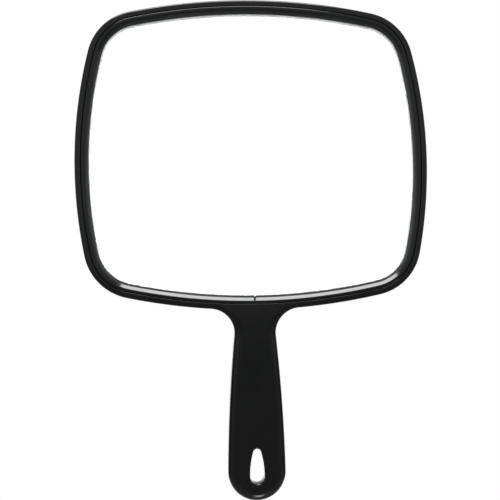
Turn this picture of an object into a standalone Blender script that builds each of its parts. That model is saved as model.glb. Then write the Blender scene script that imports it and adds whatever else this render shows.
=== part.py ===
"""Salon hand mirror: a black plastic frame with its handle, a rear cover, a split bezel and a glass pane.

Run it with  blender --background --python part.py  or from Blender's text editor.

Metres. +Z runs up the handle to the head, the glass faces -Y, and the origin is at the middle of the grip,
halfway through its thickness. A "depth" below is a distance in front of that middle plane, so it is -Y.
"""

import math

import bmesh
import bpy
from mathutils import Matrix, Vector

# Head outline, seen from the front. Its four sides are shallow arcs, joined by four equal, tangent corner arcs.
HEAD_WIDTH = 0.2290
HEAD_TOP = 0.2619
HEAD_BOTTOM = 0.0604
WIDEST_HEIGHT = 0.1552
SIDE_RADIUS = 0.3000
END_RADIUS = 0.3880
CORNER_RADIUS = 0.0345

# Handle outline: a round tip, two long arcs that close towards the neck, and a fillet into the head.
HANDLE_TIP = -0.0620
TIP_RADIUS = 0.0187
GRIP_SIDE_RADIUS = 1.0450
GRIP_TAPER = math.radians(1.0)
NECK_FILLET = 0.0160

# Hanging hole: a teardrop with its narrow end up and faintly bowed sides.
HOLE_LOW_HEIGHT = -0.0462
HOLE_LOW_RADIUS = 0.0046
HOLE_HIGH_HEIGHT = -0.0310
HOLE_HIGH_RADIUS = 0.0025
HOLE_SIDE_RADIUS = 0.0560
HOLE_EDGE_RADIUS = 0.0012
HOLE_BACK_GROWTH = 0.0022
HOLE_COLLAR_WALL = 0.0018

# The gap between pieces that touch each other on the real mirror.
TOUCH_GAP = 0.0003

# Depths, front to back.
FRAME_FRONT = 0.0070
BEZEL_FRONT = 0.0068
FRAME_LIP_BACK = 0.0045
GLASS_FRONT = 0.0039
GLASS_BACK = 0.0017
COATING_FRONT = GLASS_BACK - TOUCH_GAP
COATING_BACK = COATING_FRONT - 0.0003
FOAM_FRONT = COATING_BACK - TOUCH_GAP
FOAM_BACK = FOAM_FRONT - 0.0030
COVER_BACK = -0.0070
PANEL_FRONT = COVER_BACK + 0.0026

# Insets from the head outline.
RIM_WIDTH = 0.0037
SHELL_WALL = 0.0024
BEZEL_FLANGE_INSET = SHELL_WALL + TOUCH_GAP
BEZEL_OUTER_INSET = RIM_WIDTH + TOUCH_GAP
BEZEL_CREST_INSET = 0.0059
BEZEL_SLOPE_INSET = 0.0079
BEZEL_LIP_INSET = 0.0092
GLASS_INSET = 0.0066
FOAM_INSET = 0.0080

FRONT_EDGE_RADIUS = 0.0045
BACK_EDGE_RADIUS = 0.0040
EDGE_SEGMENTS = 5
WINDOW_EDGE_BREAK = 0.0003
GLASS_EDGE_BREAK = 0.0004
HANDLE_SKIN = 0.0024
BEZEL_SPLIT = 0.0005
BEZEL_LIP_THICKNESS = 0.0004
BEZEL_ROUND = 0.0004
SUPPORT_RIB_INSET = 0.0036
SUPPORT_RIB_WIDTH = 0.0016

# Inside the handle.
HANDLE_POCKET_TOP = 0.0525
CROSS_RIB_HEIGHTS = (-0.0180, 0.0140, 0.0440)
CROSS_RIB_THICKNESS = 0.0014
CROSS_RIB_DEPTH = 0.0023
RIB_BITE = 0.0004
PIN_HEIGHTS = (-0.0020, 0.0300)
PIN_RADIUS = 0.0015
SOCKET_RADIUS = 0.0034
PIN_REACH = 0.0030

# Tape pads between the foam and the rear cover.
PAD_WIDTH = 0.0250
PAD_HEIGHT = 0.0400
PAD_SPACING_X = 0.1060
PAD_SPACING_Z = 0.0900
PADS_HEIGHT = 0.1610

CHORD_ERROR = 0.00008
FLARE_STEPS = 3
SHARP_ANGLE = math.radians(35)
OVERSHOOT = 0.0020
WELD = 0.00001

BOTTOM_CENTRE = Vector((0.0, HEAD_BOTTOM + END_RADIUS))
FACING_FRONT = Matrix.Rotation(math.radians(90), 4, "X")


# ---------------------------------------------------------------- outlines


def arc(centre, radius, inset, start, end):
    """Points along an arc, ends included. Their number depends on the radius alone, not on the inset."""
    step = 2 * math.acos(1 - CHORD_ERROR / radius)
    count = max(2, math.ceil(abs(end - start) / step))
    angles = [start + (end - start) * i / count for i in range(count + 1)]
    reach = radius - inset
    return [centre + reach * Vector((math.cos(angle), math.sin(angle))) for angle in angles]


def circle_crossing(first, first_radius, second, second_radius):
    """The point at these distances from the two centres, on the right of the way from first to second."""
    across = second - first
    along = (first_radius**2 - second_radius**2 + across.length_squared) / (2 * across.length)
    aside = math.sqrt(first_radius**2 - along**2)
    unit = across.normalized()
    return first + along * unit + aside * Vector((unit.y, -unit.x))


def direction(start, end):
    """The angle of the line from start to end."""
    return math.atan2(end.y - start.y, end.x - start.x)


def join(pieces):
    """One run of points from arcs that share their end points."""
    points = list(pieces[0])
    for piece in pieces[1:]:
        points += piece[1:]
    return points


def mirrored(half):
    """A closed outline from its right half, which starts and ends on the centre line."""
    return half + [Vector((-point.x, point.y)) for point in reversed(half[1:-1])]


def head_half(inset, bottom_start):
    """The head's right half, from the angle bottom_start on its bottom arc up to the top centre."""
    side = Vector((HEAD_WIDTH / 2 - SIDE_RADIUS, WIDEST_HEIGHT))
    top = Vector((0.0, HEAD_TOP - END_RADIUS))
    to_side = SIDE_RADIUS - CORNER_RADIUS
    to_end = END_RADIUS - CORNER_RADIUS
    low = circle_crossing(side, to_side, BOTTOM_CENTRE, to_end)
    high = circle_crossing(top, to_end, side, to_side)
    leaves_bottom = direction(BOTTOM_CENTRE, low)
    meets_side = direction(side, low)
    leaves_side = direction(side, high)
    meets_top = direction(top, high)
    return join([
        arc(BOTTOM_CENTRE, END_RADIUS, inset, bottom_start, leaves_bottom),
        arc(low, CORNER_RADIUS, inset, leaves_bottom, meets_side),
        arc(side, SIDE_RADIUS, inset, meets_side, leaves_side),
        arc(high, CORNER_RADIUS, inset, leaves_side, meets_top),
        arc(top, END_RADIUS, inset, meets_top, math.pi / 2),
    ])


def head_outline(inset):
    """The head without its handle, moved inwards by inset."""
    return mirrored(head_half(inset, -math.pi / 2))


def body_outline(inset):
    """The head and the handle as one outline, moved inwards by inset."""
    tip = Vector((0.0, HANDLE_TIP + TIP_RADIUS))
    across = Vector((math.cos(GRIP_TAPER), math.sin(GRIP_TAPER)))
    grip = tip - (GRIP_SIDE_RADIUS - TIP_RADIUS) * across
    fillet = circle_crossing(
        grip, GRIP_SIDE_RADIUS + NECK_FILLET, BOTTOM_CENTRE, END_RADIUS + NECK_FILLET
    )
    leaves_grip = direction(grip, fillet)
    meets_head = direction(BOTTOM_CENTRE, fillet)
    return mirrored(join([
        arc(tip, TIP_RADIUS, inset, -math.pi / 2, GRIP_TAPER),
        arc(grip, GRIP_SIDE_RADIUS, inset, GRIP_TAPER, leaves_grip),
        arc(fillet, NECK_FILLET, -inset, leaves_grip + math.pi, meets_head + math.pi),
        head_half(inset, meets_head),
    ]))


def handle_pocket_outline():
    """The hollow of the handle: the body outline moved in by the wall and cut off below the head."""
    return [point for point in body_outline(SHELL_WALL) if point.y < HANDLE_POCKET_TOP]


def teardrop(growth):
    """The hanging hole, grown outwards by growth."""
    low = Vector((0.0, HOLE_LOW_HEIGHT))
    high = Vector((0.0, HOLE_HIGH_HEIGHT))
    to_low = HOLE_SIDE_RADIUS - HOLE_LOW_RADIUS
    to_high = HOLE_SIDE_RADIUS - HOLE_HIGH_RADIUS
    side = circle_crossing(high, to_high, low, to_low)
    leaves_low = direction(side, low)
    meets_high = direction(side, high)
    return mirrored(join([
        arc(low, HOLE_LOW_RADIUS, -growth, -math.pi / 2, leaves_low),
        arc(side, HOLE_SIDE_RADIUS, -growth, leaves_low, meets_high),
        arc(high, HOLE_HIGH_RADIUS, -growth, meets_high, math.pi / 2),
    ]))


def circle(centre, radius):
    """A closed circle of points."""
    return arc(centre, radius, 0.0, 0.0, 2 * math.pi)[:-1]


def rectangle(centre, width, height):
    """The corners of an upright rectangle, counter-clockwise."""
    x, y = width / 2, height / 2
    return [centre + Vector(corner) for corner in ((-x, -y), (x, -y), (x, y), (-x, y))]


# ---------------------------------------------------------------- Blender helpers


def clear_scene():
    for thing in list(bpy.data.objects):
        bpy.data.objects.remove(thing)


def new_collection(name):
    collection = bpy.data.collections.new(name)
    bpy.context.scene.collection.children.link(collection)
    return collection


def new_material(name, colour, roughness, metallic=0.0, transmission=0.0):
    """A plain Principled material."""
    material = bpy.data.materials.new(name)
    material.use_nodes = True
    shader = material.node_tree.nodes["Principled BSDF"]
    shader.inputs["Base Color"].default_value = (*colour, 1.0)
    shader.inputs["Roughness"].default_value = roughness
    shader.inputs["Metallic"].default_value = metallic
    shader.inputs["Transmission Weight"].default_value = transmission
    return material


def add_spline(curve, points, closed=True):
    """A straight-segment spline through flat points."""
    spline = curve.splines.new("POLY")
    spline.points.add(len(points) - 1)
    for target, point in zip(spline.points, points):
        target.co = (point.x, point.y, 0.0, 1.0)
    spline.use_cyclic_u = closed


def mesh_of_curve(curve, placement):
    """The welded mesh of a curve, in world space. The curve goes away."""
    holder = bpy.data.objects.new(curve.name, curve)
    bpy.context.scene.collection.objects.link(holder)
    graph = bpy.context.evaluated_depsgraph_get()
    mesh = bpy.data.meshes.new_from_object(holder.evaluated_get(graph))
    mesh.transform(placement)
    shape = bmesh.new()
    shape.from_mesh(mesh)
    bmesh.ops.remove_doubles(shape, verts=shape.verts, dist=WELD)
    bmesh.ops.recalc_face_normals(shape, faces=shape.faces)
    shape.to_mesh(mesh)
    shape.free()
    bpy.data.objects.remove(holder)
    bpy.data.curves.remove(curve)
    return mesh


def new_object(name, mesh, collection, material=None):
    thing = bpy.data.objects.new(name, mesh)
    collection.objects.link(thing)
    if material:
        mesh.materials.clear()
        mesh.materials.append(material)
    return thing


def plate(name, outlines, low, high, collection, material=None):
    """A flat piece between two depths. Outlines after the first are holes in it."""
    curve = bpy.data.curves.new(name, "CURVE")
    curve.dimensions = "2D"
    curve.fill_mode = "BOTH"
    curve.extrude = (high - low) / 2
    for outline in outlines:
        add_spline(curve, outline)
    placement = Matrix.Translation((0.0, -(low + high) / 2, 0.0)) @ FACING_FRONT
    mesh = mesh_of_curve(curve, placement)
    if len(outlines) == 1:
        make_caps_whole(mesh)
    return new_object(name, mesh, collection, material)


def make_caps_whole(mesh):
    """Turns each flat end of a plate into a single face, so that a bevel can run round it."""
    shape = bmesh.new()
    shape.from_mesh(mesh)
    for facing in (-1, 1):
        cap = [face for face in shape.faces if face.normal.y * facing > 0.99]
        bmesh.ops.dissolve_faces(shape, faces=cap)
    shape.to_mesh(mesh)
    shape.free()


def round_edge(thing, depth, radius, segments=EDGE_SEGMENTS):
    """A Bevel round the edges of a plate that lie at this depth."""
    mesh = thing.data
    weight = mesh.attributes.new("bevel_weight_edge", "FLOAT", "EDGE")
    for edge in mesh.edges:
        ends = [mesh.vertices[index].co.y for index in edge.vertices]
        on_edge = all(abs(y + depth) < WELD for y in ends)
        weight.data[edge.index].value = 1.0 if on_edge else 0.0
    bevel = thing.modifiers.new("rounded_edge", "BEVEL")
    bevel.limit_method = "WEIGHT"
    bevel.width = radius
    bevel.segments = segments
    bevel.use_clamp_overlap = False


def combine(thing, operation, tools):
    """One Boolean for each tool, which is then only a guide."""
    for tool in tools:
        change = thing.modifiers.new(f"{operation.lower()}_{tool.name}", "BOOLEAN")
        change.operation = operation
        change.solver = "EXACT"
        change.object = tool
        tool.hide_render = True
        tool.display_type = "WIRE"


def smooth(thing):
    """Smooth shading that keeps the real edges sharp."""
    thing.data.shade_smooth()
    thing.data.set_sharp_from_angle(angle=SHARP_ANGLE)


def loft(name, rings, collection):
    """A closed solid through rings of points that all have the same number of points."""
    shape = bmesh.new()
    loops = [[shape.verts.new(point) for point in ring] for ring in rings]
    count = len(loops[0])
    for near, far in zip(loops, loops[1:]):
        for i in range(count):
            j = (i + 1) % count
            shape.faces.new((near[i], near[j], far[j], far[i]))
    shape.faces.new(loops[0])
    shape.faces.new(loops[-1])
    bmesh.ops.recalc_face_normals(shape, faces=shape.faces)
    mesh = bpy.data.meshes.new(name)
    shape.to_mesh(mesh)
    shape.free()
    return new_object(name, mesh, collection)


# ---------------------------------------------------------------- tools that shape the two shells


def upright_ring(outline, depth):
    """A flat outline as a ring of points in space."""
    return [(point.x, -depth, point.y) for point in outline]


def stepped_window(cutters):
    """The cutter of the frame's window. It is wider behind the rim, where the bezel's flange sits."""
    steps = [
        (RIM_WIDTH - OVERSHOOT, FRAME_FRONT + OVERSHOOT - WINDOW_EDGE_BREAK),
        (RIM_WIDTH, FRAME_FRONT - WINDOW_EDGE_BREAK),
        (RIM_WIDTH, FRAME_LIP_BACK),
        (SHELL_WALL, FRAME_LIP_BACK),
        (SHELL_WALL, -OVERSHOOT),
    ]
    rings = [upright_ring(head_outline(inset), depth) for inset, depth in steps]
    return loft("window_cutter", rings, cutters)


def hanging_hole(cutters):
    """The teardrop cutter. It widens through the cover and flares at both faces to round the edges."""
    sections = [(HOLE_EDGE_RADIUS, FRAME_FRONT + OVERSHOOT)]
    turns = [math.pi / 2 * (1 - step / FLARE_STEPS) for step in range(FLARE_STEPS + 1)]
    flare = [
        (HOLE_EDGE_RADIUS * (1 - math.cos(turn)), HOLE_EDGE_RADIUS * (1 - math.sin(turn)))
        for turn in turns
    ]
    sections += [(growth, FRAME_FRONT - drop) for growth, drop in flare]
    sections.append((0.0, 0.0))
    sections += [(HOLE_BACK_GROWTH + growth, COVER_BACK + drop) for growth, drop in reversed(flare)]
    sections.append((HOLE_BACK_GROWTH + HOLE_EDGE_RADIUS, COVER_BACK - OVERSHOOT))
    rings = [upright_ring(teardrop(growth), depth) for growth, depth in sections]
    return loft("hanging_hole_cutter", rings, cutters)


def hole_collar(name, growth, low, high, cutters):
    """The wall that closes the hollow handle round the hanging hole, which has grown by growth."""
    return plate(name, [teardrop(growth + HOLE_COLLAR_WALL)], low, high, cutters)


def cross_ribs(prefix, low, high, cutters):
    """Stiffening ribs across the hollow handle."""
    ribs = []
    for number, height in enumerate(CROSS_RIB_HEIGHTS, 1):
        width = 2 * (grip_half_width(height) - SHELL_WALL + RIB_BITE)
        shape = rectangle(Vector((0.0, height)), width, CROSS_RIB_THICKNESS)
        ribs.append(plate(f"{prefix}_rib_{number}", [shape], low, high, cutters))
    return ribs


def grip_half_width(height):
    """Half the handle's width at a height on its long sides."""
    outline = body_outline(0.0)
    above = next(i for i, point in enumerate(outline) if point.y > height)
    low, high = outline[above - 1], outline[above]
    return low.x + (high.x - low.x) * (height - low.y) / (high.y - low.y)


def round_posts(prefix, radius, low, high, cutters):
    """Upright round posts or holes at the places of the press pins."""
    return [
        plate(f"{prefix}_{number}", [circle(Vector((0.0, height)), radius)], low, high, cutters)
        for number, height in enumerate(PIN_HEIGHTS, 1)
    ]


# ---------------------------------------------------------------- sub-parts


def front_frame(parts, cutters, hole, material):
    """The rim round the glass and the front half of the handle, in one moulding."""
    seam = TOUCH_GAP / 2
    frame = plate("front_frame", [body_outline(0.0)], seam, FRAME_FRONT, parts, material)
    round_edge(frame, FRAME_FRONT, FRONT_EDGE_RADIUS)
    inside_top = FRAME_FRONT - HANDLE_SKIN
    combine(frame, "DIFFERENCE", [
        stepped_window(cutters),
        plate("frame_handle_cutter", [handle_pocket_outline()], -OVERSHOOT, inside_top, cutters),
    ])
    root = inside_top + SHELL_WALL / 2
    inner = [hole_collar("frame_hole_collar", 0.0, seam, root, cutters)]
    inner += cross_ribs("frame", CROSS_RIB_DEPTH, root, cutters)
    inner += round_posts("pin_socket", SOCKET_RADIUS, seam, root, cutters)
    combine(frame, "UNION", inner)
    bores = round_posts("pin_bore", PIN_RADIUS + TOUCH_GAP, -OVERSHOOT, PIN_REACH + TOUCH_GAP, cutters)
    combine(frame, "DIFFERENCE", [hole, *bores])
    smooth(frame)
    return frame


def rear_cover(parts, cutters, hole, material):
    """The flat back of the head and the rear half of the handle, in one moulding."""
    seam = -TOUCH_GAP / 2
    cover = plate("rear_cover", [body_outline(0.0)], COVER_BACK, seam, parts, material)
    round_edge(cover, COVER_BACK, BACK_EDGE_RADIUS)
    combine(cover, "DIFFERENCE", [
        plate("cover_pocket_cutter", [head_outline(SHELL_WALL)], PANEL_FRONT, OVERSHOOT, cutters),
        plate("cover_handle_cutter", [handle_pocket_outline()], PANEL_FRONT, OVERSHOOT, cutters),
    ])
    root = PANEL_FRONT - SHELL_WALL / 2
    rib_outlines = [
        head_outline(SUPPORT_RIB_INSET),
        head_outline(SUPPORT_RIB_INSET + SUPPORT_RIB_WIDTH),
    ]
    inner = [
        plate("bezel_support_rib", rib_outlines, root, COATING_BACK - TOUCH_GAP, cutters),
        hole_collar("cover_hole_collar", HOLE_BACK_GROWTH, root, seam, cutters),
    ]
    inner += cross_ribs("cover", root, -CROSS_RIB_DEPTH, cutters)
    inner += round_posts("press_pin", PIN_RADIUS, root, PIN_REACH, cutters)
    combine(cover, "UNION", inner)
    combine(cover, "DIFFERENCE", [hole])
    smooth(cover)
    return cover


def bezel_profile():
    """The bezel's section as (inset, depth): a flange behind the rim, a crest, a slope and a thin lip."""
    under_lip = GLASS_FRONT + TOUCH_GAP
    flange_top = FRAME_LIP_BACK - TOUCH_GAP
    glass_side = GLASS_INSET - TOUCH_GAP
    return [
        (BEZEL_FLANGE_INSET, COATING_BACK),
        (BEZEL_FLANGE_INSET, flange_top),
        (BEZEL_OUTER_INSET, flange_top),
        (BEZEL_OUTER_INSET, BEZEL_FRONT - BEZEL_ROUND),
        (BEZEL_OUTER_INSET + BEZEL_ROUND, BEZEL_FRONT),
        (BEZEL_CREST_INSET - BEZEL_ROUND, BEZEL_FRONT),
        (BEZEL_CREST_INSET + BEZEL_ROUND / 2, BEZEL_FRONT - BEZEL_ROUND / 2),
        (BEZEL_SLOPE_INSET, under_lip + 2 * BEZEL_LIP_THICKNESS),
        (BEZEL_LIP_INSET, under_lip + BEZEL_LIP_THICKNESS),
        (BEZEL_LIP_INSET, under_lip),
        (glass_side, under_lip),
        (glass_side, COATING_BACK),
    ]


def bezel_ring(parts, material):
    """A strip of one section bent round the glass, with its two ends butted at the bottom centre."""
    section = bpy.data.curves.new("bezel_section", "CURVE")
    section.dimensions = "2D"
    add_spline(section, [Vector((-inset, depth)) for inset, depth in bezel_profile()])
    guide = bpy.data.objects.new("bezel_section", section)
    bpy.context.scene.collection.objects.link(guide)
    path = head_outline(0.0)
    path[0] = path[0] + Vector((BEZEL_SPLIT / 2, 0.0))
    path.append(Vector((-path[0].x, path[0].y)))
    strip = bpy.data.curves.new("bezel_ring", "CURVE")
    strip.dimensions = "2D"
    strip.fill_mode = "NONE"
    strip.bevel_mode = "OBJECT"
    strip.bevel_object = guide
    strip.use_fill_caps = True
    add_spline(strip, path, closed=False)
    mesh = mesh_of_curve(strip, FACING_FRONT)
    bpy.data.objects.remove(guide)
    ring = new_object("bezel_ring", mesh, parts, material)
    smooth(ring)
    return ring


def glass_pane(parts, material):
    """Float glass with its edges ground to a small round."""
    pane = plate("mirror_glass", [head_outline(GLASS_INSET)], GLASS_BACK, GLASS_FRONT, parts, material)
    round_edge(pane, GLASS_FRONT, GLASS_EDGE_BREAK, segments=1)
    return pane


def silver_coating(parts, material):
    """The silvering with its protective back paint."""
    outline = head_outline(GLASS_INSET)
    return plate("silver_coating", [outline], COATING_BACK, COATING_FRONT, parts, material)


def foam_backing(parts, material):
    """The foam sheet that presses the pane forwards against the bezel."""
    return plate("foam_backing", [head_outline(FOAM_INSET)], FOAM_BACK, FOAM_FRONT, parts, material)


def tape_pads(parts, material):
    """Four double-sided tape pads that hold the foam to the rear cover."""
    back = PANEL_FRONT + TOUCH_GAP
    front = FOAM_BACK - TOUCH_GAP
    for row, up in (("upper", 1), ("lower", -1)):
        for side, right in (("left", -1), ("right", 1)):
            centre = Vector((right * PAD_SPACING_X / 2, PADS_HEIGHT + up * PAD_SPACING_Z / 2))
            outline = rectangle(centre, PAD_WIDTH, PAD_HEIGHT)
            plate(f"tape_pad_{row}_{side}", [outline], back, front, parts, material)


def main():
    clear_scene()
    parts = new_collection("hand_mirror")
    cutters = new_collection("cutters")
    black = new_material("black_plastic", (0.010, 0.011, 0.010), 0.22)
    hole = hanging_hole(cutters)
    front_frame(parts, cutters, hole, black)
    rear_cover(parts, cutters, hole, black)
    bezel_ring(parts, new_material("bezel_plastic", (0.008, 0.009, 0.008), 0.18))
    glass_pane(parts, new_material("clear_glass", (0.95, 0.98, 0.96), 0.02, transmission=1.0))
    silver_coating(parts, new_material("silvering", (0.92, 0.93, 0.92), 0.03, metallic=1.0))
    foam_backing(parts, new_material("grey_foam", (0.32, 0.33, 0.34), 0.95))
    tape_pads(parts, new_material("tape", (0.80, 0.79, 0.74), 0.80))


main()
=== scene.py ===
"""Looks for the salon hand mirror: fine meshes, procedural materials, studio light and the camera.

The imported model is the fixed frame. Metres, +Z up the handle to the head, the glass faces -Y.
A "depth" is a distance in front of the object's middle plane, so it is -Y.
An "inset" is a distance inwards from an outline.
"""

import math

import bmesh
import bpy
import numpy as np
from mathutils import Matrix, Vector, geometry


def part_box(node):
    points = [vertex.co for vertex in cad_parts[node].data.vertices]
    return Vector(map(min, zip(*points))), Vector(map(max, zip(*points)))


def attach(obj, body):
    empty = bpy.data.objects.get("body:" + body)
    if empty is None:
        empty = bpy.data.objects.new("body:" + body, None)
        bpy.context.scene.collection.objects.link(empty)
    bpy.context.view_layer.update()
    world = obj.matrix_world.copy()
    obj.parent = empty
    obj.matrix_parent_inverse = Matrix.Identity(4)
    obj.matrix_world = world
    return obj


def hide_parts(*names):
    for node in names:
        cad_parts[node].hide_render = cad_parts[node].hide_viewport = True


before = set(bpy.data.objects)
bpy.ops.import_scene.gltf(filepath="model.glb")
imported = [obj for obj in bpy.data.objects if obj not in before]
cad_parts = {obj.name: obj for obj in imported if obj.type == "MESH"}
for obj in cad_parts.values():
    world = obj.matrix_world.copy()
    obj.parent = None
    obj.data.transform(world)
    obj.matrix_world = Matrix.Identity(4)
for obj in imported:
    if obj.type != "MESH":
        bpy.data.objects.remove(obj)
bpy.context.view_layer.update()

# ---------------------------------------------------------------- sizes

frame_low, frame_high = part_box("front_frame")
_, cover_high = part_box("rear_cover")
bezel_low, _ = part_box("bezel_ring")
glass_low, glass_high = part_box("mirror_glass")
_, coating_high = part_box("silver_coating")

# The two outlines: the CAD box and the same radii as the CAD.
HALF_WIDTH = frame_high.x
HEAD_TOP = frame_high.z
HANDLE_TIP = frame_low.z
HEAD_BOTTOM = 0.0604
WIDEST_HEIGHT = 0.1552
SIDE_RADIUS = 0.3000
END_RADIUS = 0.3880
CORNER_RADIUS = 0.0345
TIP_RADIUS = 0.0187
GRIP_SIDE_RADIUS = 1.0450
GRIP_TAPER = math.radians(1.0)
NECK_FILLET = 0.0160
BOTTOM_CENTRE = Vector((0.0, HEAD_BOTTOM + END_RADIUS))

# Hanging hole.
HOLE_LOW_HEIGHT = -0.0462
HOLE_LOW_RADIUS = 0.0046
HOLE_HIGH_HEIGHT = -0.0310
HOLE_HIGH_RADIUS = 0.0025
HOLE_SIDE_RADIUS = 0.0560
HOLE_EDGE_RADIUS = 0.0012
HOLE_BACK_GROWTH = 0.0022

# Depths.
GAP = 0.0003
FRONT = -frame_low.y
BACK = -cover_high.y
FRAME_SEAM = -frame_high.y
COVER_SEAM = -FRAME_SEAM
TONGUE_RISE = 0.0005
GROOVE_TOP = FRAME_SEAM + TONGUE_RISE
TONGUE_TOP = COVER_SEAM + TONGUE_RISE
GLASS_FRONT = -glass_low.y
GLASS_BACK = -glass_high.y
SILVER_CLEARANCE = 0.00002
SILVER_FRONT = GLASS_BACK - SILVER_CLEARANCE
COATING_BACK = -coating_high.y
PANEL_THICKNESS = 0.0026
PANEL_FRONT = BACK + PANEL_THICKNESS
BEZEL_FRONT = -bezel_low.y
FLANGE_TOP = 0.0042
LIP_CLEARANCE = 0.00005
LIP_THICKNESS = 0.00105
LIP_UNDERSIDE = GLASS_FRONT + LIP_CLEARANCE
LIP_TOP = LIP_UNDERSIDE + LIP_THICKNESS
SLOPE_FOOT_RISE = 0.00015
SLOPE_FOOT = LIP_TOP + SLOPE_FOOT_RISE

# Insets from the head outline.
RIM_WIDTH = 0.0037
SHELL_WALL = 0.0024
TONGUE_INSET = 0.0011
SUPPORT_RIB_INSET = 0.0036
SUPPORT_RIB_WIDTH = 0.0016
GLASS_INSET = HALF_WIDTH - glass_high.x
BEZEL_FIT = 0.00012
BEZEL_FLANGE = SHELL_WALL + GAP
BEZEL_OUTER = RIM_WIDTH + BEZEL_FIT
BEZEL_CREST = 0.0059
BEZEL_SLOPE_END = 0.0079
BEZEL_LIP = 0.0093

# The lip gets shorter and thinner over this rise from the head's bottom.
LIP_TAPER = 0.0005
LIP_THINNING = 0.0006
LIP_TAPER_RISE = 0.060

# Insets between which the bezel goes from new to rubbed, its grey there partly real wear and partly a
# painted sheen, and how far past the lip the silver is cloudy.
LIP_WEAR_AND_SHEEN_START = 0.0068
LIP_WEAR_AND_SHEEN_END = 0.0086
SILVER_CLEAR = 0.0018

# The bezel's two butted ends. The steps are distances from an end to the strip's first sections.
BEZEL_SPLIT = 0.00004
BEZEL_END_ROUND = 0.0012
BEZEL_END_CHAMFER = 0.00005
BEZEL_END_STEPS = (
    0.0, 0.00004, 0.00009, 0.00015, 0.0002, 0.00035, 0.0005, 0.0007, 0.0009, 0.0012, 0.0016,
)

# Rounded edges and the crown of the plastic.
RIM_EDGE_RADIUS = 0.0012
RIM_DOME_WIDTH = 0.0042
RIM_DOME_DROP = 0.0002
GRIP_EDGE_WIDTH = 0.0062
GRIP_EDGE_DEPTH = 0.0050
GRIP_EDGE_POWER = 2.4
NECK_START = 0.0420
NECK_END = 0.0620
BACK_EDGE_RADIUS = 0.0040
WINDOW_EDGE_ROUND = 0.00015
SEAM_ROUND = 0.0003
SHOULDER_ROUND = 0.0009
CREST_ROUND = 0.00045
SLOPE_FOOT_ROUND = 0.0004
LIP_TOP_ROUND = 0.00015
LIP_UNDER_ROUND = 0.0001
GLASS_FRONT_ROUND = 0.0004
GLASS_BACK_ROUND = 0.0002

# Rows of points that shape the handle's face inside the last ring it shares with the rim.
FILL_INSETS = (0.0037, 0.0041, 0.0045, 0.0050, 0.0056, 0.0062, 0.0070)
FILL_TOP_CLEARANCE = 0.0010
FILL_CLEARANCE = 0.0004
RING_CLEARANCE = 0.0001

# How finely curves are followed.
LONGEST_STEP = 0.0012
CHORD_ERROR = 0.000004
FACE_RINGS = 30
HAZE_RINGS = 8
SMALL_TURN_STEPS = 3
TURN_STEPS = 6
SECTION_TURN_STEPS = 8
BACK_TURN_STEPS = 14
FLOOR_SEGMENTS = 96
SHARP_ANGLE = math.radians(32)

# Flat outlines are triangulated in millimetres.
MM = 1000.0
MERGE_DISTANCE = 1e-6
KEEP_INSIDE = 1


# ---------------------------------------------------------------- outlines


def arc(centre, radius, inset, start, end):
    """Points along an arc. Their number doesn't depend on the inset, so outlines at two insets match."""
    step = min(LONGEST_STEP / radius, 2 * math.acos(1 - CHORD_ERROR / radius))
    count = max(2, math.ceil(abs(end - start) / step))
    angles = [start + (end - start) * i / count for i in range(count + 1)]
    reach = radius - inset
    return [centre + reach * Vector((math.cos(angle), math.sin(angle))) for angle in angles]


def circle_crossing(first, first_radius, second, second_radius):
    """The point at these distances from the two centres, on the right of the way from first to second."""
    across = second - first
    along = (first_radius**2 - second_radius**2 + across.length_squared) / (2 * across.length)
    aside = math.sqrt(first_radius**2 - along**2)
    unit = across.normalized()
    return first + along * unit + aside * Vector((unit.y, -unit.x))


def direction(start, end):
    """The angle of the line from start to end."""
    return math.atan2(end.y - start.y, end.x - start.x)


def join(runs):
    """One run of points from arcs that share their end points."""
    points = list(runs[0])
    for run in runs[1:]:
        points += run[1:]
    return points


def mirrored(half):
    """A closed outline from its right half, which starts and ends on the centre line."""
    return half + [Vector((-point.x, point.y)) for point in reversed(half[1:-1])]


def head_half(inset, bottom_start):
    """The head's right half, from the angle bottom_start on its bottom arc up to the top centre."""
    side = Vector((HALF_WIDTH - SIDE_RADIUS, WIDEST_HEIGHT))
    top = Vector((0.0, HEAD_TOP - END_RADIUS))
    to_side = SIDE_RADIUS - CORNER_RADIUS
    to_end = END_RADIUS - CORNER_RADIUS
    low = circle_crossing(side, to_side, BOTTOM_CENTRE, to_end)
    high = circle_crossing(top, to_end, side, to_side)
    leaves_bottom = direction(BOTTOM_CENTRE, low)
    meets_side = direction(side, low)
    leaves_side = direction(side, high)
    meets_top = direction(top, high)
    return join([
        arc(BOTTOM_CENTRE, END_RADIUS, inset, bottom_start, leaves_bottom),
        arc(low, CORNER_RADIUS, inset, leaves_bottom, meets_side),
        arc(side, SIDE_RADIUS, inset, meets_side, leaves_side),
        arc(high, CORNER_RADIUS, inset, leaves_side, meets_top),
        arc(top, END_RADIUS, inset, meets_top, math.pi / 2),
    ])


def head_outline(inset):
    """The head without its handle, moved inwards by inset."""
    return mirrored(head_half(inset, -math.pi / 2))


def body_outline(inset):
    """The head and the handle as one outline, moved inwards by inset."""
    tip = Vector((0.0, HANDLE_TIP + TIP_RADIUS))
    across = Vector((math.cos(GRIP_TAPER), math.sin(GRIP_TAPER)))
    grip = tip - (GRIP_SIDE_RADIUS - TIP_RADIUS) * across
    fillet = circle_crossing(
        grip, GRIP_SIDE_RADIUS + NECK_FILLET, BOTTOM_CENTRE, END_RADIUS + NECK_FILLET
    )
    leaves_grip = direction(grip, fillet)
    meets_head = direction(BOTTOM_CENTRE, fillet)
    return mirrored(join([
        arc(tip, TIP_RADIUS, inset, -math.pi / 2, GRIP_TAPER),
        arc(grip, GRIP_SIDE_RADIUS, inset, GRIP_TAPER, leaves_grip),
        arc(fillet, NECK_FILLET, -inset, leaves_grip + math.pi, meets_head + math.pi),
        head_half(inset, meets_head),
    ]))


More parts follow.
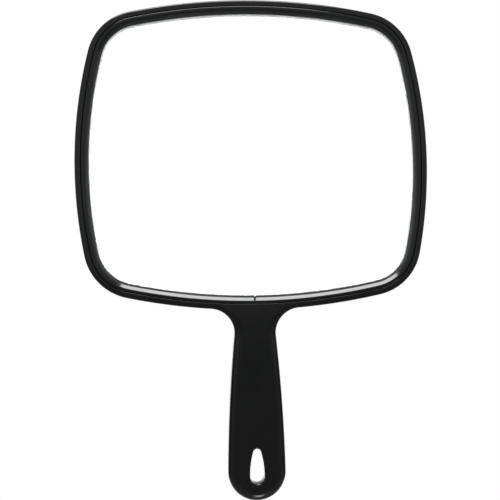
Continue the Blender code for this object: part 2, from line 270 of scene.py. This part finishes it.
def teardrop(growth):
    """The hanging hole, grown outwards by growth."""
    low = Vector((0.0, HOLE_LOW_HEIGHT))
    high = Vector((0.0, HOLE_HIGH_HEIGHT))
    to_low = HOLE_SIDE_RADIUS - HOLE_LOW_RADIUS
    to_high = HOLE_SIDE_RADIUS - HOLE_HIGH_RADIUS
    side = circle_crossing(high, to_high, low, to_low)
    leaves_low = direction(side, low)
    meets_high = direction(side, high)
    return mirrored(join([
        arc(low, HOLE_LOW_RADIUS, -growth, -math.pi / 2, leaves_low),
        arc(side, HOLE_SIDE_RADIUS, -growth, leaves_low, meets_high),
        arc(high, HOLE_HIGH_RADIUS, -growth, meets_high, math.pi / 2),
    ]))


# ---------------------------------------------------------------- mesh making


def upright(outline, depth):
    """A flat outline as a ring of points in space."""
    return [Vector((point.x, -depth, point.y)) for point in outline]


def add_ring(shape, ring):
    """New vertices at a ring's points."""
    return [shape.verts.new(point) for point in ring]


def bridge(shape, near, far):
    """A band of four-sided faces between two rings of the same length."""
    count = len(near)
    for i in range(count):
        j = (i + 1) % count
        shape.faces.new((near[i], near[j], far[j], far[i]))


def add_tube(shape, rings):
    """Bands through a row of rings. It returns the first and the last ring of vertices."""
    loops = [add_ring(shape, ring) for ring in rings]
    for near, far in zip(loops, loops[1:]):
        bridge(shape, near, far)
    return loops[0], loops[-1]


def fill_between(shape, outer, holes, extra=(), depth_at=None):
    """Triangles between an outer loop of vertices and the loops of its holes.

    They go through the extra flat points too, at the depth that depth_at gives for each.
    """
    loops = [outer, *holes]
    verts = [vert for loop in loops for vert in loop]
    flat = [Vector((vert.co.x * MM, vert.co.z * MM)) for vert in verts]
    flat += [Vector((point.x * MM, point.y * MM)) for point in extra]
    edges = []
    loop_of = {}
    start = 0
    for number, loop in enumerate(loops):
        count = len(loop)
        edges += [(start + i, start + (i + 1) % count) for i in range(count)]
        loop_of.update({start + i: number for i in range(count)})
        start += count
    _, _, faces, origins, _, _ = geometry.delaunay_2d_cdt(flat, edges, [], KEEP_INSIDE, MERGE_DISTANCE)
    for point in extra:
        verts.append(shape.verts.new((point.x, -depth_at(point), point.y)))
    chosen = [origin[0] for origin in origins]
    for face in faces:
        ids = [chosen[index] for index in face]
        around = {loop_of.get(index) for index in ids}
        if len(around) == 1 and None not in around and 0 not in around:
            continue
        shape.faces.new([verts[index] for index in ids])


def rounded_section(corners):
    """A closed section of (inset, depth) corners. A corner with a third number has that radius."""
    points = []
    for i, corner in enumerate(corners):
        here = Vector(corner[:2])
        radius = corner[2] if len(corner) > 2 else 0.0
        if not radius:
            points.append(here)
            continue
        before = (Vector(corners[i - 1][:2]) - here).normalized()
        after = (Vector(corners[(i + 1) % len(corners)][:2]) - here).normalized()
        half_angle = before.angle(after) / 2
        reach = radius / math.tan(half_angle)
        centre = here + (before + after).normalized() * radius / math.sin(half_angle)
        start = direction(centre, here + before * reach)
        turn = direction(centre, here + after * reach) - start
        turn = (turn + math.pi) % (2 * math.pi) - math.pi
        for step in range(SECTION_TURN_STEPS + 1):
            angle = start + turn * step / SECTION_TURN_STEPS
            points.append(centre + radius * Vector((math.cos(angle), math.sin(angle))))
    return points


def placed(name, data):
    """A new object with this data, in the scene."""
    item = bpy.data.objects.new(name, data)
    bpy.context.scene.collection.objects.link(item)
    return item


def finished(shape, name, material, replaced):
    """Makes bmesh work a piece of the mirror's one body, smooth with its real edges kept sharp."""
    bmesh.ops.recalc_face_normals(shape, faces=shape.faces)
    mesh = bpy.data.meshes.new(name)
    shape.to_mesh(mesh)
    shape.free()
    mesh.shade_smooth()
    mesh.set_sharp_from_angle(angle=SHARP_ANGLE)
    mesh.materials.append(material)
    piece = placed(name, mesh)
    normals = piece.modifiers.new("even_shading", "WEIGHTED_NORMAL")
    normals.keep_sharp = True
    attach(piece, "root")
    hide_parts(replaced)


# ---------------------------------------------------------------- the plastic's outer shape


def round_drop(distance, radius):
    """How far a rounded edge falls below the face at this distance from the side wall."""
    if distance >= radius:
        return 0.0
    return radius - math.sqrt(radius**2 - (radius - distance) ** 2)


def soft_drop(distance, radius):
    """The same for an edge that eases into the face, a superellipse."""
    if distance >= radius:
        return 0.0
    return radius - radius * (1 - (1 - distance / radius) ** GRIP_EDGE_POWER) ** (1 / GRIP_EDGE_POWER)


def smoothstep(value, start, end):
    """0 up to start, 1 from end on, and an eased rise between them."""
    t = min(1.0, max(0.0, (value - start) / (end - start)))
    return t * t * (3 - 2 * t)


def front_depth(distance, height):
    """The front face's depth: a tight edge and a faint dome round the head, a soft round on the handle."""
    dome = RIM_DOME_DROP * max(0.0, 1 - distance / RIM_DOME_WIDTH) ** 2
    rim = round_drop(distance, RIM_EDGE_RADIUS) + dome
    grip = soft_drop(distance, GRIP_EDGE_WIDTH) * GRIP_EDGE_DEPTH / GRIP_EDGE_WIDTH
    share = smoothstep(height, NECK_START, NECK_END)
    return FRONT - (rim * share + grip * (1 - share))


def quarter_turn(steps):
    """Angles from 0 to a right angle."""
    return [math.pi / 2 * i / steps for i in range(steps + 1)]


def rounded_edge(outline, offset, face, into, radius, steps):
    """Rings of a rounded edge, from a flat face at one depth out to the wall at outline(offset).

    From the face the solid lies forwards where into is 1, and backwards where it is -1.
    """
    rings = []
    for angle in quarter_turn(steps):
        flat = outline(offset + radius * (1 - math.sin(angle)))
        rings.append(upright(flat, face + into * radius * (1 - math.cos(angle))))
    return rings


def face_rings():
    """Rings from the side wall over the front edge and across the rim, closest together at the wall."""
    insets = [GRIP_EDGE_WIDTH * (i / FACE_RINGS) ** 2 for i in range(FACE_RINGS + 1)]
    last = RIM_WIDTH - WINDOW_EDGE_ROUND - RING_CLEARANCE
    return [
        [Vector((point.x, -front_depth(inset, point.y), point.y)) for point in body_outline(inset)]
        for inset in insets
        if inset < last
    ]


def window_rings():
    """Rings from the face over the edge of the glass's window, round the bezel's flange and to the seam."""
    rings = []
    for angle in quarter_turn(TURN_STEPS):
        inset = RIM_WIDTH - WINDOW_EDGE_ROUND * (1 - math.sin(angle))
        sunk = WINDOW_EDGE_ROUND * (1 - math.cos(angle))
        rings.append(upright(head_outline(inset), front_depth(inset, HEAD_TOP) - sunk))
    return rings + [
        upright(head_outline(RIM_WIDTH), FLANGE_TOP + GAP),
        upright(head_outline(SHELL_WALL), FLANGE_TOP + GAP),
        upright(head_outline(SHELL_WALL), GROOVE_TOP),
    ]


# The body outline's corners, and the straight steps from each to the next.
SIDE_STARTS = np.array([tuple(point) for point in body_outline(0.0)])
SIDE_SPANS = np.roll(SIDE_STARTS, -1, axis=0) - SIDE_STARTS


def distance_to_side(point):
    """The distance from a flat point to the body outline."""
    offset = np.array(tuple(point)) - SIDE_STARTS
    along = np.clip((offset * SIDE_SPANS).sum(1) / (SIDE_SPANS**2).sum(1), 0, 1)
    return float(np.sqrt(((offset - SIDE_SPANS * along[:, None]) ** 2).sum(1)).min())


def handle_fill():
    """Flat points of the handle's face, kept clear of the window."""
    top = HEAD_BOTTOM + RIM_WIDTH - FILL_TOP_CLEARANCE
    reach = END_RADIUS - RIM_WIDTH + WINDOW_EDGE_ROUND + FILL_CLEARANCE
    return [
        point
        for inset in FILL_INSETS
        for point in body_outline(inset)
        if point.y < top and (point - BOTTOM_CENTRE).length > reach
    ]


def front_frame(material):
    """The rim round the glass and the front half of the handle."""
    shape = bmesh.new()
    groove = body_outline(TONGUE_INSET - GAP)
    rings = [upright(groove, GROOVE_TOP), upright(groove, FRAME_SEAM)]
    rings += rounded_edge(body_outline, 0.0, FRAME_SEAM, 1, SEAM_ROUND, SMALL_TURN_STEPS)
    inner, outer = add_tube(shape, rings + face_rings())
    window_front, window_back = add_tube(shape, window_rings())
    hole_rings = rounded_edge(teardrop, 0.0, FRONT, -1, HOLE_EDGE_RADIUS, TURN_STEPS)
    hole_rings.append(upright(teardrop(0.0), GROOVE_TOP))
    hole_front, hole_back = add_tube(shape, hole_rings)
    fill_between(
        shape, outer, [window_front, hole_front], handle_fill(),
        lambda point: front_depth(distance_to_side(point), point.y),
    )
    fill_between(shape, inner, [window_back, hole_back])
    finished(shape, "frame_moulding", material, "front_frame")


def rear_cover(material):
    """The flat back of the head and the rear half of the handle."""
    shape = bmesh.new()
    tongue = body_outline(TONGUE_INSET)
    rings = [upright(tongue, TONGUE_TOP), upright(tongue, COVER_SEAM)]
    rings += rounded_edge(body_outline, 0.0, COVER_SEAM, -1, SEAM_ROUND, SMALL_TURN_STEPS)
    rings += reversed(rounded_edge(body_outline, 0.0, BACK, 1, BACK_EDGE_RADIUS, BACK_TURN_STEPS))
    inner, outer = add_tube(shape, rings)

    wall = head_outline(SHELL_WALL)
    rib_start = head_outline(SUPPORT_RIB_INSET)
    rib_end = head_outline(SUPPORT_RIB_INSET + SUPPORT_RIB_WIDTH)
    pocket_front, pocket_floor = add_tube(shape, [
        upright(wall, TONGUE_TOP),
        upright(wall, PANEL_FRONT),
        upright(rib_start, PANEL_FRONT),
        upright(rib_start, COATING_BACK - GAP),
        upright(rib_end, COATING_BACK - GAP),
        upright(rib_end, PANEL_FRONT),
    ])
    shape.faces.new(pocket_floor)

    hole_rings = rounded_edge(teardrop, HOLE_BACK_GROWTH, BACK, 1, HOLE_EDGE_RADIUS, TURN_STEPS)
    hole_rings.append(upright(teardrop(0.0), TONGUE_TOP))
    hole_back, hole_front = add_tube(shape, hole_rings)
    fill_between(shape, outer, [hole_back])
    fill_between(shape, inner, [pocket_front, hole_front])
    finished(shape, "back_moulding", material, "rear_cover")


# ---------------------------------------------------------------- the bezel and the glass


def bezel_section(taper, cut, sunk):
    """The bezel's section, with every corner that shows rounded.

    The lip is shorter and thinner where taper is 1. Near the strip's ends the lip and the slope are cut
    back and the crest is sunk.
    """
    lip = BEZEL_LIP - LIP_TAPER * taper - cut
    return rounded_section([
        (BEZEL_FLANGE, COATING_BACK),
        (BEZEL_FLANGE, FLANGE_TOP),
        (BEZEL_OUTER, FLANGE_TOP),
        (BEZEL_OUTER, BEZEL_FRONT - sunk, SHOULDER_ROUND),
        (BEZEL_CREST, BEZEL_FRONT - sunk, CREST_ROUND),
        (BEZEL_SLOPE_END - cut, SLOPE_FOOT, SLOPE_FOOT_ROUND),
        (lip, LIP_TOP - LIP_THINNING * taper, LIP_TOP_ROUND),
        (lip, LIP_UNDERSIDE, LIP_UNDER_ROUND),
        (GLASS_INSET - GAP, LIP_UNDERSIDE),
        (GLASS_INSET - GAP, COATING_BACK),
    ])


def bezel_path():
    """The open line round the head that the strip follows, from its right end round to its left end."""
    end = [Vector((BEZEL_SPLIT / 2 + step, HEAD_BOTTOM)) for step in BEZEL_END_STEPS]
    half = end + [
        point for point in head_half(0.0, -math.pi / 2)
        if point.x > end[-1].x or point.y > WIDEST_HEIGHT
    ]
    return half + [Vector((-point.x, point.y)) for point in reversed(half[:-1])]


def bezel_ring(material):
    """A strip of one section bent round the glass, its two rounded ends butted at the bottom centre.

    Its lip attribute is 1 where hands and cloths have rubbed it; the grey it brings is partly that wear and
    partly a painted sheen.
    """
    shape = bmesh.new()
    # The lip attribute: rubbed wear plus a painted sheen on the lip.
    wear_and_sheen = shape.verts.layers.float.new("lip_wear_and_sheen")
    path = bezel_path()
    loops = []
    for i, place in enumerate(path):
        along = path[min(len(path) - 1, i + 1)] - path[max(0, i - 1)]
        inwards = Vector((-along.y, along.x)).normalized()
        in_lower_half = place.y < WIDEST_HEIGHT
        from_end = max(0.0, abs(place.x) - BEZEL_SPLIT / 2) if in_lower_half else BEZEL_END_ROUND
        taper = smoothstep(place.y, HEAD_BOTTOM, HEAD_BOTTOM + LIP_TAPER_RISE)
        cut = round_drop(from_end, BEZEL_END_ROUND)
        sunk = round_drop(from_end, BEZEL_END_CHAMFER)
        loop = []
        for inset, depth in bezel_section(taper, cut, sunk):
            point = place + inset * inwards
            vert = shape.verts.new((point.x, -depth, point.y))
            vert[wear_and_sheen] = smoothstep(inset, LIP_WEAR_AND_SHEEN_START, LIP_WEAR_AND_SHEEN_END)
            loop.append(vert)
        loops.append(loop)
    for near, far in zip(loops, loops[1:]):
        bridge(shape, near, far)
    shape.faces.new(loops[0])
    shape.faces.new(loops[-1])
    finished(shape, "bezel_strip", material, "bezel_ring")


def mirror_glass(material):
    """The pane, with its edges ground to a small round."""
    shape = bmesh.new()
    rings = rounded_edge(head_outline, GLASS_INSET, GLASS_FRONT, -1, GLASS_FRONT_ROUND, SMALL_TURN_STEPS)
    rings += reversed(
        rounded_edge(head_outline, GLASS_INSET, GLASS_BACK, 1, GLASS_BACK_ROUND, SMALL_TURN_STEPS)
    )
    front, back = add_tube(shape, rings)
    shape.faces.new(front)
    shape.faces.new(back)
    finished(shape, "glass_pane", material, "mirror_glass")


def silver_coating(material):
    """The silver layer behind the glass.

    Its edge_haze attribute falls from 1 under the bezel to 0 in the clear field.
    """
    shape = bmesh.new()
    haze = shape.verts.layers.float.new("edge_haze")
    clear = BEZEL_LIP + SILVER_CLEAR
    insets = [GLASS_INSET + (clear - GLASS_INSET) * i / HAZE_RINGS for i in range(HAZE_RINGS, -1, -1)]
    rings = [upright(head_outline(inset), SILVER_FRONT) for inset in insets]
    rings.append(upright(head_outline(GLASS_INSET), COATING_BACK))
    front, back = add_tube(shape, rings)
    shape.faces.new(front)
    shape.faces.new(back)
    shape.verts.ensure_lookup_table()
    around = len(front)
    for row, inset in enumerate(insets):
        for vert in shape.verts[row * around:(row + 1) * around]:
            vert[haze] = 1.0 - smoothstep(inset, BEZEL_LIP, clear)
    finished(shape, "silver_layer", material, "silver_coating")


# ---------------------------------------------------------------- materials

# The plastic's ramp goes from dark to light over its unworn share, and then to the lip's grey, which is
# partly rubbed wear and partly a painted sheen.
PLASTIC_DARK = (0.0001, 0.0003, 0.0001)
PLASTIC_LIGHT = (0.0002, 0.0004, 0.0002)
RUBBED_AND_SHEEN_GREY = (0.014, 0.015, 0.014)
UNWORN_SHARE = 0.3
PLASTIC_SPECULAR = 0.095
SHELL_ROUGHNESS = (0.11, 0.20)
BEZEL_ROUGHNESS = (0.10, 0.18)

GLASS_INDEX = 1.52
GLASS_TINTS = ((0.985, 0.996, 0.990), (0.975, 0.990, 0.982))
SILVER_TINTS = ((0.955, 0.965, 0.960), (0.970, 0.975, 0.970))
FOAM_AND_PIT_SHADE_TINTS = ((0.16, 0.165, 0.17), (0.36, 0.37, 0.38))
TAPE_TINTS = ((0.70, 0.68, 0.61), (0.82, 0.81, 0.76))
FLOOR_TINTS = ((0.31, 0.31, 0.31), (0.33, 0.33, 0.33))


class Tree:
    """A node tree with short ways to add and link nodes."""

    def __init__(self, tree):
        self.tree = tree

    def add(self, kind, **inputs):
        """A new node, with values for its inputs."""
        node = self.tree.nodes.new(kind)
        for key, value in inputs.items():
            node.inputs[key.replace("_", " ")].default_value = value
        return node

    def link(self, source, target):
        """Links an output to an input."""
        self.tree.links.new(source, target)

    def feed(self, source, target):
        """Gives an input a number, or links it to an output."""
        if isinstance(source, float):
            target.default_value = source
        else:
            self.link(source, target)

    def range(self, source, limits, results, easing="LINEAR"):
        """Maps a pattern from one pair of limits onto another, clamped."""
        node = self.add("ShaderNodeMapRange")
        node.interpolation_type = easing
        for key, value in zip(("From Min", "From Max", "To Min", "To Max"), (*limits, *results)):
            self.feed(value, node.inputs[key])
        self.link(source, node.inputs["Value"])
        return node.outputs["Result"]

    def math(self, operation, *values):
        """The result of one operation on outputs and numbers."""
        node = self.add("ShaderNodeMath")
        node.operation = operation
        for value, target in zip(values, node.inputs):
            self.feed(value, target)
        return node.outputs["Value"]


class Look(Tree):
    """A material with its shader, and patterns in object space."""

    def __init__(self, name):
        self.material = bpy.data.materials.new(name)
        self.material.use_nodes = True
        super().__init__(self.material.node_tree)
        self.shader = self.tree.nodes["Principled BSDF"]
        self.place = self.add("ShaderNodeTexCoord").outputs["Object"]

    def set(self, **values):
        """Constant values for the shader."""
        for key, value in values.items():
            self.shader.inputs[key.replace("_", " ")].default_value = value

    def drive(self, name, source):
        """Links a pattern to one of the shader's inputs."""
        self.link(source, self.shader.inputs[name])

    def noise(self, scale, detail=3.0, stretch=None, roughness=0.5):
        """A noise pattern, with scale in cells a metre."""
        node = self.add("ShaderNodeTexNoise", Scale=scale, Detail=detail, Roughness=roughness)
        source = self.place
        if stretch:
            mapping = self.add("ShaderNodeMapping", Scale=stretch)
            self.link(source, mapping.inputs["Vector"])
            source = mapping.outputs["Vector"]
        self.link(source, node.inputs["Vector"])
        return node.outputs["Fac"]

    def ramp(self, source, places, colours):
        """A colour ramp with one place for each colour."""
        node = self.add("ShaderNodeValToRGB")
        elements = node.color_ramp.elements
        while len(elements) < len(colours):
            elements.new(0.5)
        for element, place, colour in zip(elements, places, colours):
            element.position = place
            element.color = (*colour, 1.0)
        self.link(source, node.inputs["Fac"])
        return node.outputs["Color"]

    def attribute(self, name):
        """A mesh attribute that goes from 0 to 1. It is 0 on a mesh without it."""
        node = self.add("ShaderNodeAttribute")
        node.attribute_name = name
        return node.outputs["Fac"]

    def bump(self, height, strength, distance):
        """Bumps the surface with a pattern, as far as distance."""
        node = self.add("ShaderNodeBump", Strength=strength, Distance=distance)
        self.link(height, node.inputs["Height"])
        self.drive("Normal", node.outputs["Normal"])


def black_plastic(name, roughness):
    """Moulded black plastic with faint orange peel, flow marks, hairline scratches and finger smudges.

    A mesh with the lip attribute is greyer where it is 1, partly from rubbing and partly from a painted
    sheen.
    """
    look = Look(name)
    flow = look.noise(38.0, detail=4.0, stretch=(1.0, 1.0, 0.45))
    unworn = look.range(flow, (0.30, 0.70), (0.0, UNWORN_SHARE))
    # The lip's grey: partly rubbed wear, partly a painted sheen.
    worn_and_sheen = look.range(look.attribute("lip_wear_and_sheen"), (0.0, 1.0), (0.0, 1.0 - UNWORN_SHARE))
    places = (0.0, UNWORN_SHARE, 1.0)
    colours = (PLASTIC_DARK, PLASTIC_LIGHT, RUBBED_AND_SHEEN_GREY)
    look.drive("Base Color", look.ramp(look.math("ADD", unworn, worn_and_sheen), places, colours))
    smudges = look.range(look.noise(55.0, detail=6.0, roughness=0.62), (0.35, 0.72), roughness)
    scratches = look.noise(900.0, detail=2.0, stretch=(1.0, 1.0, 0.03))
    hairlines = look.range(scratches, (0.62, 0.80), (0.0, 0.10))
    look.drive("Roughness", look.math("ADD", smudges, hairlines))
    peel = look.noise(650.0, detail=2.0)
    look.bump(look.math("ADD", peel, look.math("MULTIPLY", scratches, 0.15)), 0.25, 0.00003)
    look.set(Specular_IOR_Level=PLASTIC_SPECULAR)
    return look.material


def clear_glass():
    """Float glass, a little green, with a faint film that finger marks leave."""
    look = Look("clear_float_glass")
    film = look.noise(24.0, detail=5.0, roughness=0.6)
    look.drive("Base Color", look.ramp(film, (0.2, 0.8), GLASS_TINTS))
    look.drive("Roughness", look.range(film, (0.55, 0.80), (0.0, 0.015)))
    look.bump(look.noise(9.0, detail=1.0), 0.05, 0.00002)
    look.set(Transmission_Weight=1.0, IOR=GLASS_INDEX)
    return look.material


def silvering():
    """The silver layer, with the least ripple of real float glass and cloudy where edge_haze is 1."""
    look = Look("silver_mirror_layer")
    ripple = look.noise(14.0, detail=2.0)
    look.drive("Base Color", look.ramp(ripple, (0.2, 0.8), SILVER_TINTS))
    unevenness = look.range(ripple, (0.3, 0.8), (0.0, 0.012))
    clouding = look.range(look.attribute("edge_haze"), (0.0, 1.0), (0.0, 1.0))
    look.drive("Roughness", look.math("ADD", unevenness, clouding))
    look.set(Metallic=1.0)
    return look.material


def foam():
    """Open-cell grey foam, with painted shade darkening the pits of its cells."""
    look = Look("grey_cell_foam")
    cells = look.add("ShaderNodeTexVoronoi", Scale=1400.0)
    look.link(look.place, cells.inputs["Vector"])
    depth = cells.outputs["Distance"]
    # Painted shade: the cells' pits, low in the bump, are darker.
    look.drive("Base Color", look.ramp(depth, (0.05, 0.45), FOAM_AND_PIT_SHADE_TINTS))
    look.drive("Roughness", look.range(look.noise(60.0), (0.3, 0.7), (0.88, 0.98)))
    look.bump(depth, 0.6, 0.0003)
    return look.material


def tape():
    """Off-white double-sided tape with paper fibres."""
    look = Look("paper_tape")
    fibres = look.noise(700.0, detail=5.0, stretch=(1.0, 1.0, 0.2))
    look.drive("Base Color", look.ramp(fibres, (0.3, 0.7), TAPE_TINTS))
    look.drive("Roughness", look.range(fibres, (0.3, 0.7), (0.72, 0.86)))
    look.bump(fibres, 0.4, 0.0001)
    return look.material


def carried_over(name, material):
    """Gives a CAD node that stays as it is a better material."""
    for material_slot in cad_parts[name].material_slots:
        material_slot.material = material


# ---------------------------------------------------------------- stage, light and camera

CAMERA_PLACE = Vector((-0.0341, -0.5000, 0.0848))
CAMERA_YAW = math.radians(3.621)
CAMERA_PITCH = math.radians(1.643)
CAMERA_ROLL = math.radians(-0.764)
CAMERA_LENS = 55.26
SENSOR_WIDTH = 36.0
CLIP_START = 0.01

# A large softbox above the camera, and a small card below the handle's tip.
KEY_PLACE = (-0.13, -0.45, 1.25)
KEY_TARGET = (-0.13, 0.0, 0.10)
KEY_SIZE = (0.86, 0.58)
KEY_RADIANCE = 65.0
CARD_PLACE = (0.020, -0.142, -0.20)
CARD_TARGET = (0.0, 0.0, -0.06)
CARD_SIZE = (0.036, 0.06)
CARD_RADIANCE = 32.0

FLOOR_CLEAR = 0.16
FLOOR_RADIUS = 0.45
FLOOR_FADE = (0.30, 0.43)

# The room's brightness by direction, for everything but the camera. Apart from the levels, the pairs
# are limits of the direction's x, y or z, between which the brightness changes.
ROOM_COLOUR = (0.99, 0.975, 1.02, 1.0)
WHITE = (1.0, 1.0, 1.0, 1.0)
ROOM_LEVEL = 2.65
HORIZON = (-0.048, -0.028)
LOW_LEVEL = 1.13
LOW_SIDE_LEVEL = 1.50
LOW_HALF_WIDTH = (0.20, 0.60)
BACK_LEVEL = 0.15
BACK_TO_FRONT = (-0.10, 0.40)
WALL_LEVELS = (2.1, 0.8)
WALL_HEIGHTS = (-0.5, 0.3)
WALL_SPREAD = (0.45, 0.80)


def camera():
    """The photograph's view."""
    data = bpy.data.cameras.new("photo_camera")
    data.lens = CAMERA_LENS
    data.sensor_width = SENSOR_WIDTH
    data.clip_start = CLIP_START
    seat = placed("photo_camera", data)
    turn = Matrix.Rotation(-CAMERA_YAW, 4, "Z") @ Matrix.Rotation(math.pi / 2 + CAMERA_PITCH, 4, "X")
    seat.matrix_world = Matrix.Translation(CAMERA_PLACE) @ turn @ Matrix.Rotation(CAMERA_ROLL, 4, "Z")
    bpy.context.scene.camera = seat


def softbox(name, place, target, size, radiance):
    """A rectangular soft light that faces target. Radiance is what a mirror would see in it."""
    width, height = size
    data = bpy.data.lights.new(name, "AREA")
    data.shape = "RECTANGLE"
    data.size = width
    data.size_y = height
    data.energy = radiance * math.pi * width * height
    light = placed(name, data)
    light.location = place
    light.rotation_euler = (Vector(target) - Vector(place)).to_track_quat("-Z", "Y").to_euler()
    light.visible_camera = False


def studio_world():
    """White to the camera, and to everything else a bright room that is dimmer below and behind."""
    world = bpy.data.worlds.new("studio")
    bpy.context.scene.world = world
    world.use_nodes = True
    world.node_tree.nodes.clear()
    tree = Tree(world.node_tree)
    way = tree.add("ShaderNodeSeparateXYZ")
    tree.link(tree.add("ShaderNodeTexCoord").outputs["Generated"], way.inputs["Vector"])
    forwards = tree.math("MULTIPLY", way.outputs["Y"], -1.0)
    aside = tree.math("ABSOLUTE", way.outputs["X"])
    below = tree.range(aside, LOW_HALF_WIDTH, (LOW_LEVEL, LOW_SIDE_LEVEL), "SMOOTHSTEP")
    above = tree.range(way.outputs["Z"], HORIZON, (0.0, ROOM_LEVEL), "SMOOTHSTEP")
    facing = tree.range(forwards, BACK_TO_FRONT, (BACK_LEVEL, 1.0), "SMOOTHSTEP")
    ahead = tree.math("MULTIPLY", tree.math("MAXIMUM", below, above), facing)
    wall = tree.range(way.outputs["Z"], WALL_HEIGHTS, WALL_LEVELS, "SMOOTHSTEP")
    behind = tree.range(way.outputs["Y"], WALL_SPREAD, (0.0, wall), "SMOOTHSTEP")

    room = tree.add("ShaderNodeBackground", Color=ROOM_COLOUR)
    tree.link(tree.math("ADD", ahead, behind), room.inputs["Strength"])
    plain = tree.add("ShaderNodeBackground", Color=WHITE)
    mix = tree.add("ShaderNodeMixShader")
    tree.link(tree.add("ShaderNodeLightPath").outputs["Is Camera Ray"], mix.inputs["Fac"])
    tree.link(room.outputs["Background"], mix.inputs[1])
    tree.link(plain.outputs["Background"], mix.inputs[2])
    tree.link(mix.outputs["Shader"], tree.add("ShaderNodeOutputWorld").inputs["Surface"])


def floor():
    """A pale disc under the handle's tip that fades out into the white background."""
    shape = bmesh.new()
    bmesh.ops.create_circle(shape, cap_ends=True, radius=FLOOR_RADIUS, segments=FLOOR_SEGMENTS)
    mesh = bpy.data.meshes.new("floor")
    shape.to_mesh(mesh)
    shape.free()
    disc = placed("floor", mesh)
    disc.location = (0.0, 0.0, HANDLE_TIP - FLOOR_CLEAR)
    look = Look("pale_floor")
    look.drive("Base Color", look.ramp(look.noise(12.0), (0.3, 0.7), FLOOR_TINTS))
    look.set(Roughness=0.9, Specular_IOR_Level=0.1)
    reach = look.add("ShaderNodeVectorMath")
    reach.operation = "LENGTH"
    look.link(look.place, reach.inputs[0])
    look.drive("Alpha", look.range(reach.outputs["Value"], FLOOR_FADE, (1.0, 0.0)))
    mesh.materials.append(look.material)


# ---------------------------------------------------------------- making it all

camera()
studio_world()
floor()
softbox("key_softbox", KEY_PLACE, KEY_TARGET, KEY_SIZE, KEY_RADIANCE)
softbox("low_card", CARD_PLACE, CARD_TARGET, CARD_SIZE, CARD_RADIANCE)

shell_plastic = black_plastic("black_shell_plastic", SHELL_ROUGHNESS)
front_frame(shell_plastic)
rear_cover(shell_plastic)
bezel_ring(black_plastic("black_bezel_plastic", BEZEL_ROUGHNESS))
mirror_glass(clear_glass())
silver_coating(silvering())
carried_over("foam_backing", foam())
paper = tape()
for node_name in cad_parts:
    if node_name.startswith("tape_pad"):
        carried_over(node_name, paper)

bpy.context.scene.view_settings.view_transform = "Standard"
